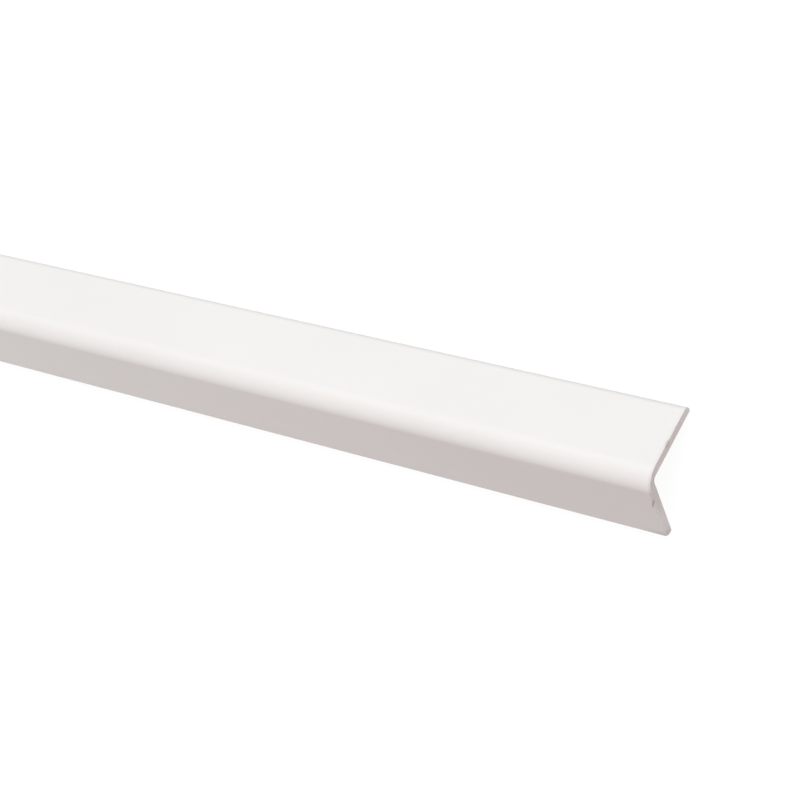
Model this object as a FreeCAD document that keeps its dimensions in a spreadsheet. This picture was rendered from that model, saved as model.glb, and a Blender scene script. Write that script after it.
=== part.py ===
# Corner guard moulding: one length of extruded white vinyl angle that covers the outside corner of a wall.
# The section has two equal legs at a right angle, a round nose where they meet, a small radius in the root,
# and free edges rolled over towards the wall. It lies on those two edges with the nose up, as on a floor.
# Millimetres; X runs along the length, Z is up, and the origin is on the floor under the middle.
import FreeCAD, Part
import Sketcher
import math
import os

doc = FreeCAD.newDocument("corner_guard_moulding")

# Driving dimensions
SIZES = {
    "stock_length": 1219.2,   # four feet, a length that corner guards are sold in
    "leg_width": 28.6,        # outside face of one leg, from the corner to the free edge
    "wall": 3.1,              # thickness of both legs
    "nose_radius": 6.2,       # outside corner
    "root_radius": 1.5,       # inside corner
    "edge_flat": 0.3,         # flat left on each free edge, between its two rounded arrises
    "back_edge_radius": 0.3,  # inner arris of each free edge; the outer one takes the rest of the wall
}
sheet = doc.addObject("Spreadsheet::Sheet", "dims")
for row, (alias, value) in enumerate(SIZES.items(), start=1):
    sheet.set(f"A{row}", alias)
    sheet.set(f"B{row}", str(value))
    sheet.setAlias(f"B{row}", alias)
doc.recompute()

LEG_LEAN = 45.0  # degrees each leg leans from upright when both free edges stand on the floor


def origin_plane(body, role):
    return next(plane for plane in body.Origin.OriginFeatures if plane.Role == role)


def arc_edge(centre_x, centre_y, radius, first_degrees):
    # A quarter turn, anticlockwise from first_degrees
    circle = Part.Circle(FreeCAD.Vector(centre_x, centre_y, 0), FreeCAD.Vector(0, 0, 1), radius)
    start = math.radians(first_degrees)
    return Part.ArcOfCircle(circle, start, start + math.pi / 2)


def line_edge(x1, y1, x2, y2):
    return Part.LineSegment(FreeCAD.Vector(x1, y1, 0), FreeCAD.Vector(x2, y2, 0))


def draw_section(body):
    # The whole outline, drawn as an L with its sharp outside corner at the sketch's origin:
    # the flat leg runs along +X below the axis, and the hanging leg runs down beside the -Y axis.
    sketch = body.newObject("Sketcher::SketchObject", "section")
    sketch.AttachmentSupport = (origin_plane(body, "YZ_Plane"), [""])
    sketch.MapMode = "FlatFace"

    leg, wall = sheet.leg_width, sheet.wall
    nose, root = sheet.nose_radius, sheet.root_radius
    back, flat = sheet.back_edge_radius, sheet.edge_flat
    lip = wall - back - flat

    # Lines, in order round the outline from the flat leg's outer face
    flat_face = sketch.addGeometry(line_edge(nose, 0, leg - lip, 0))
    flat_end = sketch.addGeometry(line_edge(leg, -lip, leg, back - wall))
    flat_back = sketch.addGeometry(line_edge(leg - back, -wall, wall + root, -wall))
    hang_back = sketch.addGeometry(line_edge(wall, -wall - root, wall, back - leg))
    hang_end = sketch.addGeometry(line_edge(wall - back, -leg, lip, -leg))
    hang_face = sketch.addGeometry(line_edge(0, lip - leg, 0, -nose))

    # Arcs between them
    flat_lip = sketch.addGeometry(arc_edge(leg - lip, -lip, lip, 0))
    flat_inner = sketch.addGeometry(arc_edge(leg - back, back - wall, back, 270))
    root_arc = sketch.addGeometry(arc_edge(wall + root, -wall - root, root, 90))
    hang_inner = sketch.addGeometry(arc_edge(wall - back, back - leg, back, 270))
    hang_lip = sketch.addGeometry(arc_edge(lip, lip - leg, lip, 180))
    nose_arc = sketch.addGeometry(arc_edge(nose, -nose, nose, 90))

    # Every arc runs smoothly into its two lines; 1 is an edge's start and 2 its end
    smooth_joins = [
        (flat_face, 2, flat_lip, 2), (flat_lip, 1, flat_end, 1),
        (flat_end, 2, flat_inner, 2), (flat_inner, 1, flat_back, 1),
        (flat_back, 2, root_arc, 1), (root_arc, 2, hang_back, 1),
        (hang_back, 2, hang_inner, 2), (hang_inner, 1, hang_end, 1),
        (hang_end, 2, hang_lip, 2), (hang_lip, 1, hang_face, 1),
        (hang_face, 2, nose_arc, 2), (nose_arc, 1, flat_face, 1),
    ]
    for join in smooth_joins:
        sketch.addConstraint(Sketcher.Constraint("Tangent", *join))
    for line in (flat_face, flat_back, hang_end):
        sketch.addConstraint(Sketcher.Constraint("Horizontal", line))
    for line in (flat_end, hang_back, hang_face):
        sketch.addConstraint(Sketcher.Constraint("Vertical", line))

    # The two outer faces meet, if carried on, at the sketch's origin
    x_axis, y_axis = -1, -2
    sketch.addConstraint(Sketcher.Constraint("PointOnObject", flat_face, 1, x_axis))
    sketch.addConstraint(Sketcher.Constraint("PointOnObject", hang_face, 2, y_axis))

    # Both lips and both inner arrises are alike
    sketch.addConstraint(Sketcher.Constraint("Equal", flat_lip, hang_lip))
    sketch.addConstraint(Sketcher.Constraint("Equal", flat_inner, hang_inner))

    sized = [
        ("flat_leg", "leg_width", ("DistanceX", x_axis, 1, flat_end, 1, leg)),
        ("hanging_leg", "leg_width", ("DistanceY", hang_end, 1, x_axis, 1, leg)),
        ("flat_wall", "wall", ("DistanceY", flat_back, 1, x_axis, 1, wall)),
        ("hanging_wall", "wall", ("DistanceX", x_axis, 1, hang_back, 1, wall)),
        ("nose", "nose_radius", ("Radius", nose_arc, nose)),
        ("root", "root_radius", ("Radius", root_arc, root)),
        ("edge_flat", "edge_flat", ("Distance", flat_end, flat)),
        ("back_edge", "back_edge_radius", ("Radius", flat_inner, back)),
    ]
    for name, alias, terms in sized:
        index = sketch.addConstraint(Sketcher.Constraint(*terms))
        sketch.renameConstraint(index, name)
        sketch.setExpression(f"Constraints.{name}", f"dims.{alias}")
    return sketch


def extrude_guard():
    # One extruded piece, saw-cut square at both ends
    body = doc.addObject("PartDesign::Body", "corner_guard")
    body.Label = "corner_guard"
    section = draw_section(body)
    doc.recompute()

    extrusion = body.newObject("PartDesign::Pad", "extrusion")
    extrusion.Profile = section
    extrusion.SideType = "Symmetric"
    extrusion.setExpression("Length", "dims.stock_length")

    # Turned about its length so that the nose is up, and set down on its two free edges
    body.Placement = FreeCAD.Placement(
        FreeCAD.Vector(0, 0, 0), FreeCAD.Rotation(FreeCAD.Vector(1, 0, 0), -LEG_LEAN)
    )
    body.setExpression(
        "Placement.Base.z",
        "(dims.leg_width + dims.wall) / sqrt(2) - dims.back_edge_radius * (sqrt(2) - 1)",
    )
    return body, section


guard, section = extrude_guard()
doc.recompute()

# Nothing is written unless every object is sound
for item in doc.Objects:
    if "Invalid" in item.State or "Error" in item.State:
        raise RuntimeError(f"{item.Label} failed to build: {item.State}")
if section.solve() != 0 or not section.FullyConstrained:
    raise RuntimeError("the section's sketch is not fully constrained")
if guard.Shape.isNull() or not guard.Shape.isValid() or len(guard.Shape.Solids) != 1:
    raise RuntimeError("the corner guard is not one valid solid")

os.makedirs("parts", exist_ok=True)
guard.Shape.exportStep(f"parts/{guard.Label}.step")

box = guard.Shape.BoundBox
print(f"{guard.Label}: {box.XLength:.1f} x {box.YLength:.2f} x {box.ZLength:.2f} mm, lowest {box.ZMin:.4f},")
print(f"volume {guard.Shape.Volume / 1000:.1f} cm3")
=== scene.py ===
import bpy
import math
from mathutils import Matrix, Vector


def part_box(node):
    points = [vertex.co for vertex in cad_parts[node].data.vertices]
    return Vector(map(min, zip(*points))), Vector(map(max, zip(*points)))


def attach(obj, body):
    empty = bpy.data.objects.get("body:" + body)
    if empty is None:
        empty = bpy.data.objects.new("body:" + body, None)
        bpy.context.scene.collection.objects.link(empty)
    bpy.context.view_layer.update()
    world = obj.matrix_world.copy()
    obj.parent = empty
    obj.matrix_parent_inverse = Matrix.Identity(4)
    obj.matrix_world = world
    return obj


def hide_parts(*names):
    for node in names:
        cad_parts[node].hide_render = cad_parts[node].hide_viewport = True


# Corner guard moulding: one length of white vinyl angle, lying on its two free edges with the nose up.
# Metres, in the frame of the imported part: X along the stock, Z up, the near cut end at +X.

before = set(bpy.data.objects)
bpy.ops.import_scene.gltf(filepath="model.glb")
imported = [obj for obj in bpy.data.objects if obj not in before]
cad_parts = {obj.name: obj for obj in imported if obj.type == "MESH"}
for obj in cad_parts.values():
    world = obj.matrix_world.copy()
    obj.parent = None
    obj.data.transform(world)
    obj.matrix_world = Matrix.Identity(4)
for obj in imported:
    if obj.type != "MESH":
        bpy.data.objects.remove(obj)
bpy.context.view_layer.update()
guardLow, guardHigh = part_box("corner_guard")
print("frame loaded, stock", round(guardHigh.x - guardLow.x, 4), "m long")

# The two legs lean at 45 degrees: one falls away towards +Y, the other towards -Y
legLean = math.radians(45)
slope = math.sin(legLean)
backLegWay = Vector((0, slope, -slope))    # from the nose down the +Y leg
frontLegWay = Vector((0, -slope, -slope))  # from the nose down the -Y leg


# Helpers for nodes and objects

def newMaterial(name):
    material = bpy.data.materials.new(name)
    material.use_nodes = True
    tree = material.node_tree
    tree.nodes.clear()
    return material, tree


def addNode(tree, kind, spot, **settings):
    node = tree.nodes.new(kind)
    node.location = spot
    for key, value in settings.items():
        setattr(node, key, value)
    return node


def setInputs(node, **values):
    for key, value in values.items():
        node.inputs[key].default_value = value


def join(tree, source, output, target, socket):
    tree.links.new(source.outputs[output], target.inputs[socket])


def addNoise(tree, spot, source, output, scale, detail, roughness=0.5):
    noise = addNode(tree, "ShaderNodeTexNoise", spot)
    setInputs(noise, Scale=scale, Detail=detail, Roughness=roughness)
    join(tree, source, output, noise, "Vector")
    return noise


def addRange(tree, spot, source, output, taken, given=(0.0, 1.0)):
    # Spreads the range that is taken over the range that is given
    spread = addNode(tree, "ShaderNodeMapRange", spot)
    limits = {"From Min": taken[0], "From Max": taken[1], "To Min": given[0], "To Max": given[1]}
    setInputs(spread, **limits)
    join(tree, source, output, spread, "Value")
    return spread


def addTone(tree, spot, source, output, low, high):
    # A colour between two, by the source's value
    tone = addNode(tree, "ShaderNodeMix", spot, data_type="RGBA")
    setInputs(tone, A=(*low, 1), B=(*high, 1))
    join(tree, source, output, tone, "Factor")
    return tone


def addRelief(tree, spot, source, output, height):
    relief = addNode(tree, "ShaderNodeBump", spot)
    setInputs(relief, Strength=1.0, Distance=height)
    join(tree, source, output, relief, "Height")
    return relief


def addObject(name, data):
    item = bpy.data.objects.new(name, data)
    bpy.context.scene.collection.objects.link(item)
    return item


def newVinyl(name, ior):
    # A vinyl without its colour yet, and the places on the object that its nodes start from
    material, tree = newMaterial(name)
    output = addNode(tree, "ShaderNodeOutputMaterial", (900, 0))
    shader = addNode(tree, "ShaderNodeBsdfPrincipled", (600, 0))
    setInputs(shader, IOR=ior)
    join(tree, shader, "BSDF", output, "Surface")
    place = addNode(tree, "ShaderNodeTexCoord", (-900, 0))
    return material, tree, shader, place


# Darker marks painted on the near end: two patches, a dot, a streak along the nick, and painted contact
# shade on the tip of the front leg where it meets the floor. The middle of a mark lies at its inset from
# the end, so far down the front leg from the sharp corner, and so far into the wall. Reach is half its size
# in the same three ways. Lean turns a mark on the leg's face, in degrees.

endMarksAndShade = {
    # darker patch on the near end under the nose
    "darkPatchUnderNose": {"inset": 0.0, "down": 0.0075, "into": 0.0020, "reach": (0.0012, 0.0120, 0.0050), "lean": 0,
            "colour": (0.62, 0.57, 0.54), "strength": 0.42},
    # darker patch on the near end along the back leg
    "darkPatchAlongBackLeg": {"inset": 0.0, "down": 0.0015, "into": 0.0130, "reach": (0.0012, 0.0050, 0.0170), "lean": 0,
                "colour": (0.63, 0.56, 0.52), "strength": 0.22},
    "tick": {"inset": 0.0002, "down": 0.0006, "into": 0.0140, "reach": (0.0006, 0.0012, 0.0018), "lean": 0,
             "colour": (0.42, 0.35, 0.31), "strength": 0.45},
    # painted contact shade: darker on the front leg's tip at the near end, where it meets the floor
    "toeShade": {"inset": 0.0, "down": 0.0266, "into": 0.0009, "reach": (0.0090, 0.0026, 0.0026), "lean": 0,
            "colour": (0.56, 0.52, 0.49), "strength": 0.42},
    # a dark streak painted along the nick under the nose
    "stroke": {"inset": 0.0004, "down": 0.0103, "into": 0.0, "reach": (0.0004, 0.0041, 0.0006), "lean": -18,
               "colour": (0.34, 0.28, 0.24), "strength": 0.68},
}
markBreak = {
    "scale": 1800.0,          # fine noise that breaks up the marks' outlines
    "detail": 2.0,
    "spread": (0.03, 0.30),   # where a mark starts to show, and where it has its full strength
}


def addEndMarksAndShade(tree, place, tone, shader):
    # Lays the marks and the painted shade at the toe over a clean colour, by their place on the object
    ragged = addNoise(tree, (-250, 500), place, "Object", markBreak["scale"], markBreak["detail"])
    for row, mark in enumerate(endMarksAndShade.values()):
        level = 700 + 300 * row   # the nodes of a mark stand in a row of their own
        centre = sharpCorner + frontLegWay * mark["down"] + backLegWay * mark["into"]
        markLean = math.radians(mark["lean"])
        turn = Matrix.Rotation(legLean, 3, "X") @ Matrix.Rotation(markLean, 3, "Z")
        patch = addNode(tree, "ShaderNodeMapping", (-500, level), vector_type="TEXTURE")
        patch.inputs["Location"].default_value = (guardHigh.x - mark["inset"], centre.y, centre.z)
        patch.inputs["Rotation"].default_value = turn.to_euler()
        patch.inputs["Scale"].default_value = mark["reach"]
        join(tree, place, "Object", patch, "Vector")
        fade = addNode(tree, "ShaderNodeTexGradient", (-250, level), gradient_type="SPHERICAL")
        join(tree, patch, "Vector", fade, "Vector")
        broken = addNode(tree, "ShaderNodeMath", (-50, level), operation="MULTIPLY")
        join(tree, fade, "Fac", broken, 0)
        join(tree, ragged, "Fac", broken, 1)
        share = addRange(tree, (100, level), broken, "Value", markBreak["spread"], (0.0, mark["strength"]))
        marked = addNode(tree, "ShaderNodeMix", (350, level), data_type="RGBA")
        setInputs(marked, B=(*mark["colour"], 1))
        join(tree, share, "Result", marked, "Factor")
        join(tree, tone, "Result", marked, "A")
        tone = marked
    join(tree, tone, "Result", shader, "Base Color")


# The extruded skin: satin white vinyl with faint die lines that run along the stock

skin = {
    "colour": (0.880, 0.869, 0.853),
    "cloudColour": (0.868, 0.858, 0.843),   # where the pigment lies a little thinner
    "cloudScale": 26.0,                     # clouds about 40 mm across
    "cloudDetail": 3.0,
    "cloudRoughness": 0.55,
    "cloudSpread": (0.35, 0.65),
    "lineScale": (2.5, 1400.0, 1400.0),     # die lines about 0.7 mm apart, some 400 mm long
    "lineDetail": 2.0,
    "lineRoughness": 0.6,
    "lineSpread": (0.3, 0.7),
    "lineHeight": 0.000012,
    "grainScale": 900.0,                    # the faint orange peel, about 1 mm
    "grainDetail": 1.0,
    "grainHeight": 0.000006,
    "polish": (0.56, 0.68),                 # how rough the skin is, from line to line
    "ior": 1.53,
}


def makeSkin():
    material, tree, shader, place = newVinyl("whiteVinyl", skin["ior"])

    # Broad, very faint clouds in the pigment
    clouds = addNoise(tree, (-500, 300), place, "Object",
                      skin["cloudScale"], skin["cloudDetail"], skin["cloudRoughness"])
    depth = addRange(tree, (-250, 300), clouds, "Fac", skin["cloudSpread"])
    tone = addTone(tree, (100, 300), depth, "Result", skin["cloudColour"], skin["colour"])
    addEndMarksAndShade(tree, place, tone, shader)

    # Die lines: noise drawn out along the stock
    stretch = addNode(tree, "ShaderNodeMapping", (-700, -100))
    setInputs(stretch, Scale=skin["lineScale"])
    join(tree, place, "Object", stretch, "Vector")
    lines = addNoise(tree, (-500, -100), stretch, "Vector",
                     1.0, skin["lineDetail"], skin["lineRoughness"])
    polish = addRange(tree, (100, -50), lines, "Fac", skin["lineSpread"], skin["polish"])
    join(tree, polish, "Result", shader, "Roughness")

    # Relief: the lines, then the fine grain on top of them
    grain = addNoise(tree, (-500, -400), place, "Object", skin["grainScale"], skin["grainDetail"])
    lineRelief = addRelief(tree, (100, -300), lines, "Fac", skin["lineHeight"])
    grainRelief = addRelief(tree, (350, -300), grain, "Fac", skin["grainHeight"])
    join(tree, lineRelief, "Normal", grainRelief, "Normal")
    join(tree, grainRelief, "Normal", shader, "Normal")
    return material


# The cut ends: the same vinyl, dull and finely scored by the saw

cut = {
    "colour": (0.885, 0.872, 0.857),
    "scoreColour": (0.858, 0.846, 0.831),
    "scoreScale": 420.0,       # scores about 0.75 mm apart
    "scoreDistortion": 3.0,
    "scoreDetail": 2.0,
    "scoreDetailScale": 1.5,
    "scoreHeight": 0.00003,
    "roughness": 0.62,
    "ior": 1.53,
}


def makeCut():
    material, tree, shader, place = newVinyl("sawnVinyl", cut["ior"])
    setInputs(shader, Roughness=cut["roughness"])

    # The blade's scores stand upright on the end, a little uneven
    scores = addNode(tree, "ShaderNodeTexWave", (-500, 0), bands_direction="Y")
    setInputs(scores, Scale=cut["scoreScale"], Distortion=cut["scoreDistortion"])
    setInputs(scores, **{"Detail": cut["scoreDetail"], "Detail Scale": cut["scoreDetailScale"]})
    join(tree, place, "Object", scores, "Vector")
    tone = addTone(tree, (100, 200), scores, "Fac", cut["scoreColour"], cut["colour"])
    addEndMarksAndShade(tree, place, tone, shader)
    relief = addRelief(tree, (300, -200), scores, "Fac", cut["scoreHeight"])
    join(tree, relief, "Normal", shader, "Normal")
    return material


# The guard itself

guard = {
    "legWidth": 0.0286,        # outside face of a leg, from the sharp corner to the free edge
    "wall": 0.0031,
    "noseRadius": 0.0062,
    "rootRadius": 0.0015,
    "edgeFlat": 0.0003,        # flat left on a free edge, between its two rounded arrises
    "innerArris": 0.0003,      # radius of a free edge's inner arris; the outer one takes what is left
    "endEase": 0.00016,        # the arrises of the cut ends are broken by a touch of a scraper
    "nickPlace": 0.0106,       # a nick in the near end's arris, this far down the front leg
    "nickHalf": 0.0026,        # half its length
    "nickDepth": 0.0004,
    "toeWear": 0.0011,         # the near end's corner at the front leg's free edge is worn round
    "toeReach": 0.0035,        # how far up the leg the wear fades out
    "endSteps": 3,
    "noseSteps": 28,
    "lipSteps": 12,
    "faceSteps": 40,
    "lengthSteps": 48,
    "mapStrips": 3,            # the skin is mapped as this many strips, one above the other
    "mapGap": 0.005,
    "mapEndScale": 2.5,        # the cut ends are mapped larger than the skin
}
# The guard lies on the inner arrises of its free edges, and is lower by what they are rounded off
cornerHeight = ((guard["legWidth"] + guard["wall"]) * slope
                - guard["innerArris"] * (math.sqrt(2) - 1))
sharpCorner = Vector((0, 0, cornerHeight))   # where the two outer faces would meet without the nose
halfLength = (guardHigh.x - guardLow.x) / 2
middle = (guardHigh.x + guardLow.x) / 2


def quarterTurn(centre, radius, startWay, endWay, steps):
    # Points and outward ways of a quarter round, both as (along back leg, along front leg)
    found = []
    for step in range(steps + 1):
        angle = math.pi / 2 * step / steps
        way = [math.cos(angle) * a + math.sin(angle) * b for a, b in zip(startWay, endWay)]
        found.append(([c + radius * w for c, w in zip(centre, way)], way))
    return found


def straightRun(start, end, way, steps):
    # The points between two ends, without the ends themselves
    found = []
    for step in range(1, steps):
        share = step / steps
        found.append(([s + (e - s) * share for s, e in zip(start, end)], list(way)))
    return found


def sectionSides():
    # Both sides of the wall, from the back leg's free edge over the corner to the front leg's free edge
    leg, wall = guard["legWidth"], guard["wall"]
    nose, root = guard["noseRadius"], guard["rootRadius"]
    arris = guard["innerArris"]
    lip = wall - arris - guard["edgeFlat"]
    lipSteps, noseSteps, faceSteps = guard["lipSteps"], guard["noseSteps"], guard["faceSteps"]
    alongBack, alongFront = (1, 0), (0, 1)
    againstBack, againstFront = (-1, 0), (0, -1)

    outside = quarterTurn((leg - lip, lip), lip, alongBack, againstFront, lipSteps)
    outside += straightRun((leg - lip, 0), (nose, 0), againstFront, faceSteps)
    outside += quarterTurn((nose, nose), nose, againstFront, againstBack, noseSteps)
    outside += straightRun((0, nose), (0, leg - lip), againstBack, faceSteps)
    outside += quarterTurn((lip, leg - lip), lip, againstBack, alongFront, lipSteps)

    rootCentre = wall + root
    rootTurn = quarterTurn((rootCentre, rootCentre), root, againstFront, againstBack, noseSteps)
    inside = quarterTurn((leg - arris, wall - arris), arris, alongBack, alongFront, lipSteps)
    inside += straightRun((leg - arris, wall), (rootCentre, wall), alongFront, faceSteps)
    inside += [(point, [-way[0], -way[1]]) for point, way in rootTurn]   # hollow, so it faces its centre
    inside += straightRun((wall, rootCentre), (wall, leg - arris), alongBack, faceSteps)
    inside += quarterTurn((wall - arris, leg - arris), arris, alongBack, alongFront, lipSteps)
    return outside, inside


def lengthStations():
    # From -X to +X: (share of the half length, how far the skin has turned over into the cut end)
    endSteps, steps = guard["endSteps"], guard["lengthSteps"]
    turns = [math.pi / 2 * step / endSteps for step in range(1, endSteps + 1)]
    stations = [(-1.0, turn) for turn in reversed(turns)]
    stations += [(2 * step / steps - 1, 0.0) for step in range(steps + 1)]
    stations += [(1.0, turn) for turn in turns]
    return stations


def fadeOut(off):
    # 1 in the middle of a worn place and 0 past its rim, level at both
    return math.cos(math.pi / 2 * min(1.0, off)) ** 2


def arrisEase(pair, end):
    # How far a cut end's arris is broken: a touch all round, and more at the nick under the nose
    alongBack, alongFront = pair
    ease = guard["endEase"]
    if end > 0 and alongBack < ease:
        ease += guard["nickDepth"] * fadeOut(abs(alongFront - guard["nickPlace"]) / guard["nickHalf"])
    return ease


def toeWear(pair, end):
    # How much further the near end is rounded off towards the front leg's free edge
    if end < 0:
        return 0.0
    return guard["toeWear"] * fadeOut((guard["legWidth"] - pair[1]) / guard["toeReach"])


def toFrame(pair):
    return backLegWay * pair[0] + frontLegWay * pair[1]


def skinPoints(ring, stations):
    # One ring of points for each station, with the way that the skin faces at each
    points, normals = [], []
    for share, turn in stations:
        end = math.copysign(1, share)
        for pair, way in ring:
            ease = arrisEase(pair, end)
            worn = toeWear(pair, end)
            reach = halfLength - (ease + worn) * (1 - math.sin(turn))
            x = middle + max(-reach, min(reach, halfLength * share))
            outward = toFrame(way)
            drawn = (outward * ease + frontLegWay * worn) * (1 - math.cos(turn))
            points.append(sharpCorner + toFrame(pair) - drawn + Vector((x, 0, 0)))
            normals.append(outward * math.cos(turn) + Vector((end * math.sin(turn), 0, 0)))
    return points, normals


def skinFaces(ring, stations):
    # Side faces, with their places in the map: the stock is cut into strips that lie one above the other
    strips, gap = guard["mapStrips"], guard["mapGap"]
    count = len(ring)
    around = [0.0]
    for step in range(count):
        here, there = Vector(ring[step][0]), Vector(ring[(step + 1) % count][0])
        around.append(around[-1] + (there - here).length)
    along = []
    for share, turn in stations:
        along.append(halfLength * share + math.copysign(guard["endEase"] * turn, share))
    rowsInStrip = guard["lengthSteps"] // strips
    stripLength = 2 * halfLength / strips

    faces, mapPlaces = [], []
    for row in range(len(stations) - 1):
        strip = max(0, min(strips - 1, (row - guard["endSteps"]) // rowsInStrip))
        left = gap + halfLength - strip * stripLength
        low = gap + strip * (around[-1] + gap)
        lower, upper = row * count, (row + 1) * count
        near, far = left + along[row], left + along[row + 1]
        for step in range(count):
            after = (step + 1) % count
            faces.append((lower + step, lower + after, upper + after, upper + step))
            start, stop = low + around[step], low + around[step + 1]
            mapPlaces += [(near, start), (near, stop), (far, stop), (far, start)]
    mapWide = stripLength + 2 * gap
    mapHigh = gap + strips * (around[-1] + gap)
    return faces, mapPlaces, mapWide, mapHigh


def endFaces(points, count, sideCount, mapLow):
    # The two cut ends, laid side by side above the strips in the map
    gap, scale = guard["mapGap"], guard["mapEndScale"]
    halfWide = scale * guardHigh.y
    faces, mapPlaces = [], []
    for end, base in enumerate((0, len(points) - count)):
        centre = gap + halfWide + end * (2 * halfWide + gap)
        for step in range(sideCount - 1):
            inner = count - 1 - step
            face = (base + step, base + step + 1, base + inner - 1, base + inner)
            face = face if end else face[::-1]
            faces.append(face)
            corners = [points[corner] for corner in face]
            mapPlaces += [(centre + scale * point.y, mapLow + scale * point.z) for point in corners]
    return faces, mapPlaces, mapLow + scale * guardHigh.z + gap


def makeGuard(skinMaterial, cutMaterial):
    outside, inside = sectionSides()
    ring = outside + inside[::-1]
    stations = lengthStations()
    points, normals = skinPoints(ring, stations)
    sides, sidePlaces, mapWide, mapHigh = skinFaces(ring, stations)
    ends, endPlaces, mapHigh = endFaces(points, len(ring), len(outside), mapHigh)

    mesh = bpy.data.meshes.new("guard_extrusion")
    mesh.from_pydata(points, [], sides + ends)
    mesh.materials.append(skinMaterial)
    mesh.materials.append(cutMaterial)
    mesh.polygons.foreach_set("material_index", [0] * len(sides) + [1] * len(ends))
    mesh.polygons.foreach_set("use_smooth", [True] * len(mesh.polygons))
    bakeMap = mesh.uv_layers.new(name="OFBake")
    mapSize = max(mapWide, mapHigh)
    mapValues = [value / mapSize for place in sidePlaces + endPlaces for value in place]
    bakeMap.uv.foreach_set("vector", mapValues)
    mesh.update()
    mesh.normals_split_custom_set_from_vertices(normals)
    return addObject("guard_extrusion", mesh)


whiteVinyl = makeSkin()
sawnVinyl = makeCut()
print("finishes made,", whiteVinyl.name, "and", sawnVinyl.name)

guardPiece = makeGuard(whiteVinyl, sawnVinyl)
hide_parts("corner_guard")
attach(guardPiece, "root")
print("guard built,", len(guardPiece.data.polygons), "faces")

# Floor, world and lamps

stage = {
    "floorSize": 60.0,
    "floorColour": (0.22, 0.22, 0.22),   # what the object sees of it
    "paper": 0.88,                       # share of plain white that the camera sees in it
    "paperStrength": 1.06,
    "shadedColour": (1.0, 1.0, 1.0),     # the rest, which takes the object's shadow
    "backdrop": (0.974, 0.966, 0.966),   # as the camera sees the floor far off, so that no horizon shows
    "ambient": (0.344, 0.275, 0.275),
}


def seenDirectly(tree):
    # 1 for rays that show the background as such: from the camera, in gloss and through glass
    path = addNode(tree, "ShaderNodeLightPath", (-300, 400))
    gloss = addNode(tree, "ShaderNodeMath", (-100, 400), operation="MAXIMUM")
    glass = addNode(tree, "ShaderNodeMath", (100, 400), operation="MAXIMUM")
    join(tree, path, "Is Camera Ray", gloss, 0)
    join(tree, path, "Is Glossy Ray", gloss, 1)
    join(tree, gloss, "Value", glass, 0)
    join(tree, path, "Is Transmission Ray", glass, 1)
    return glass


def setBackground(tree, output, seen, given):
    # One shader for how the background looks, another for the light that the object gets from it
    pick = addNode(tree, "ShaderNodeMixShader", (600, 0))
    join(tree, seenDirectly(tree), "Value", pick, "Fac")
    join(tree, given, 0, pick, 1)
    join(tree, seen, 0, pick, 2)
    join(tree, pick, "Shader", output, "Surface")


def makeFloor():
    material, tree = newMaterial("paperFloor")
    output = addNode(tree, "ShaderNodeOutputMaterial", (900, 0))
    bounce = addNode(tree, "ShaderNodeBsdfDiffuse", (300, -200))
    setInputs(bounce, Color=(*stage["floorColour"], 1))
    paper = addNode(tree, "ShaderNodeEmission", (100, 200))
    setInputs(paper, Strength=stage["paperStrength"])
    shaded = addNode(tree, "ShaderNodeBsdfDiffuse", (100, 0))
    setInputs(shaded, Color=(*stage["shadedColour"], 1))
    white = addNode(tree, "ShaderNodeMixShader", (300, 100))
    setInputs(white, Fac=stage["paper"])
    join(tree, shaded, 0, white, 1)
    join(tree, paper, 0, white, 2)
    setBackground(tree, output, white, bounce)

    half = stage["floorSize"] / 2
    corners = [(-half, -half, 0), (half, -half, 0), (half, half, 0), (-half, half, 0)]
    mesh = bpy.data.meshes.new("floor")
    mesh.from_pydata(corners, [], [(0, 1, 2, 3)])
    mesh.materials.append(material)
    floor = addObject("floor", mesh)


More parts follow.
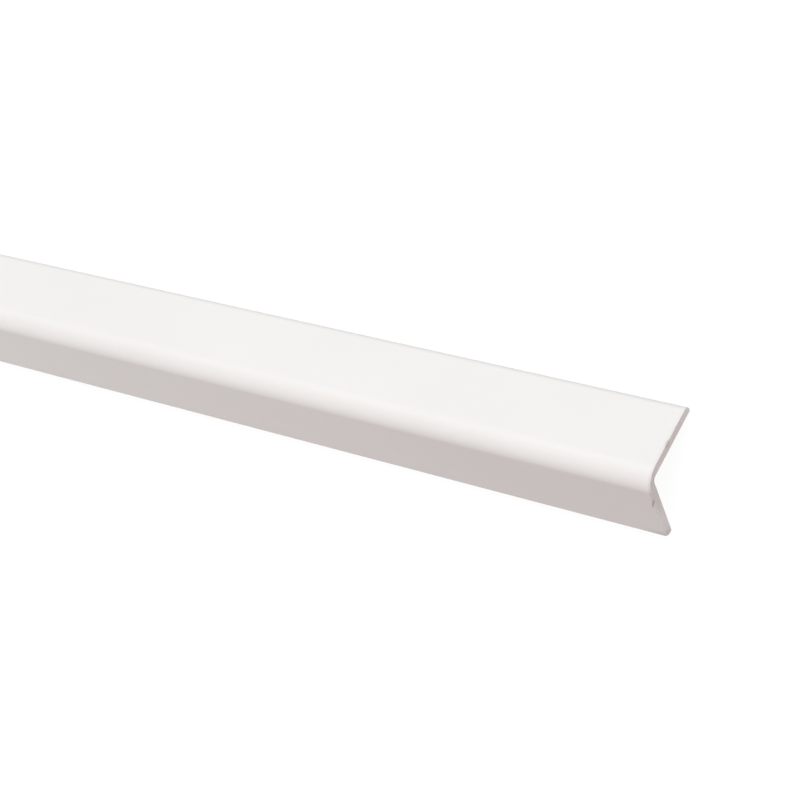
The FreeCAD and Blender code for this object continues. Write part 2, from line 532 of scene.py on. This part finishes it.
def makeWorld():
    world = bpy.data.worlds.new("studio")
    world.use_nodes = True
    tree = world.node_tree
    tree.nodes.clear()
    output = addNode(tree, "ShaderNodeOutputWorld", (900, 0))
    ambient = addNode(tree, "ShaderNodeBackground", (300, -100))
    setInputs(ambient, Color=(*stage["ambient"], 1))
    backdrop = addNode(tree, "ShaderNodeBackground", (300, 100))
    setInputs(backdrop, Color=(*stage["backdrop"], 1))
    setBackground(tree, output, backdrop, ambient)
    bpy.context.scene.world = world


lamps = {
    # A long softbox behind lights the back leg, a weak one beyond the near end fills the cut,
    # and a low strip in front, towards the far end, fills the front leg
    "key": {"place": (0.4, 1.61, 1.78), "aim": (0.3, 0, 0), "size": (2.6, 0.9), "watts": 49.3,
            "colour": (0.921, 0.997, 1.0)},
    "fill": {"place": (2.4, -0.5, 0.7), "aim": (0.6, 0, 0), "size": (1.0, 1.0), "watts": 12.15,
             "colour": (1.0, 0.931, 0.927)},
    "side": {"place": (-0.15, -0.73, 0.21), "aim": (0.4, 0, 0.01), "size": (0.8, 0.2), "watts": 2.36,
             "colour": (0.910, 1.0, 0.965)},
}


def makeLamp(name, lamp):
    data = bpy.data.lights.new(name, "AREA")
    data.shape = "RECTANGLE"
    data.size, data.size_y = lamp["size"]
    data.energy = lamp["watts"]
    data.color = lamp["colour"]
    item = addObject(name, data)
    item.location = lamp["place"]
    ahead = Vector(lamp["aim"]) - Vector(lamp["place"])
    item.rotation_euler = ahead.to_track_quat("-Z", "Y").to_euler()


makeFloor()
makeWorld()
for lampName, lamp in lamps.items():
    makeLamp(lampName, lamp)
print("floor, world and", len(lamps), "lamps set")

# Camera: close over the near end, looking down at the nose, with the stock running off to the left

view = {
    "place": (0.83123, 0.11824, 0.50512),
    "ahead": (-0.52477, -0.19238, -0.82922),
    "up": (-0.19955, 0.97479, -0.09986),
    "lens": 87.10,
    "sensor": 36.0,
    "clip": (0.01, 200.0),
}


def makeCamera():
    data = bpy.data.cameras.new("camera")
    data.lens = view["lens"]
    data.sensor_width = view["sensor"]
    data.clip_start, data.clip_end = view["clip"]
    camera = addObject("camera", data)
    ahead = Vector(view["ahead"]).normalized()
    right = ahead.cross(Vector(view["up"])).normalized()
    up = right.cross(ahead)
    turn = Matrix((right, up, -ahead)).transposed()
    camera.matrix_world = Matrix.Translation(view["place"]) @ turn.to_4x4()
    bpy.context.scene.camera = camera


makeCamera()
bpy.context.scene.view_settings.view_transform = "Standard"
print("camera set")
